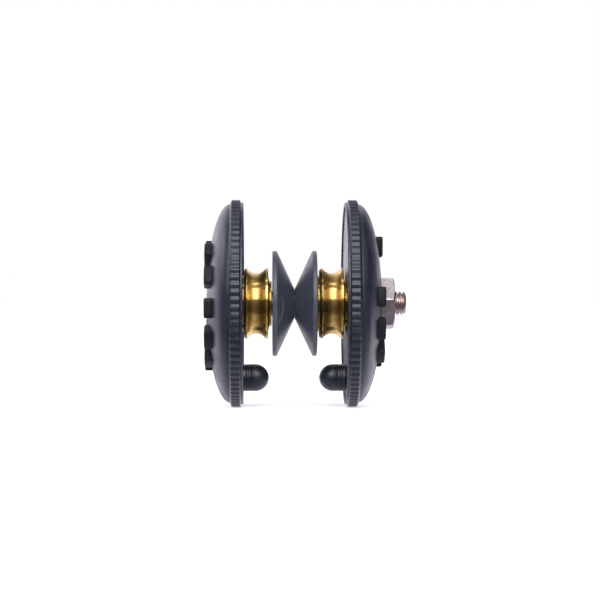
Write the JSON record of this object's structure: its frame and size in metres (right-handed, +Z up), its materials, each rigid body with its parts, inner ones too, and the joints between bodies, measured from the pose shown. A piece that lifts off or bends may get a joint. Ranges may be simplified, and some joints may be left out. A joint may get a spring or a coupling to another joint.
{
  "type": "line roller",
  "caption": "Twin-wheel line roller: two domed, reeded hand wheels, two grooved brass spools and a pair of cones that turn on one through screw.",
  "frame": {"origin": "the middle of the waist where the two cones meet, on the screw's axis", "axes": "+X along the screw from its head towards its nut, +Z up with both pegs hanging below the screw, -Y the front"},
  "size_m": [0.0401, 0.0412, 0.0412],
  "materials": {
    "wheel_plastic": "dark navy-grey moulded plastic, satin",
    "cone_plastic": "dark grey turned plastic, satin",
    "peg_rubber": "black rubber",
    "brass": "polished brass",
    "nickel": "bright nickel-plated steel"
  },
  "bodies": {
    "screw_body": {"screw": "nickel", "nut": "nickel", "head_washer": "nickel", "nut_washer": "nickel", "lock_washer": "nickel", "left_wheel_bush": "brass", "right_wheel_bush": "brass"},
    "left_wheel": {"left_wheel_shell": "wheel_plastic", "left_wheel_plate": "wheel_plastic", "left_peg": "peg_rubber"},
    "right_wheel": {"right_wheel_shell": "wheel_plastic", "right_wheel_plate": "wheel_plastic", "right_peg": "peg_rubber"},
    "left_spool": {"left_spool": "brass"},
    "right_spool": {"right_spool": "brass"},
    "left_cone": {"left_cone": "cone_plastic"},
    "right_cone": {"right_cone": "cone_plastic"}
  },
  "joints": [
    {"name": "left_wheel_spin", "type": "hinge", "parent": "screw_body", "child": "left_wheel", "pos_m": [0, 0, 0], "axis": [1, 0, 0], "continuous": true},
    {"name": "right_wheel_spin", "type": "hinge", "parent": "screw_body", "child": "right_wheel", "pos_m": [0, 0, 0], "axis": [1, 0, 0], "continuous": true},
    {"name": "left_spool_spin", "type": "hinge", "parent": "screw_body", "child": "left_spool", "pos_m": [0, 0, 0], "axis": [1, 0, 0], "continuous": true},
    {"name": "right_spool_spin", "type": "hinge", "parent": "screw_body", "child": "right_spool", "pos_m": [0, 0, 0], "axis": [1, 0, 0], "continuous": true},
    {"name": "left_cone_spin", "type": "hinge", "parent": "screw_body", "child": "left_cone", "pos_m": [0, 0, 0], "axis": [1, 0, 0], "continuous": true},
    {"name": "right_cone_spin", "type": "hinge", "parent": "screw_body", "child": "right_cone", "pos_m": [0, 0, 0], "axis": [1, 0, 0], "continuous": true}
  ]
}
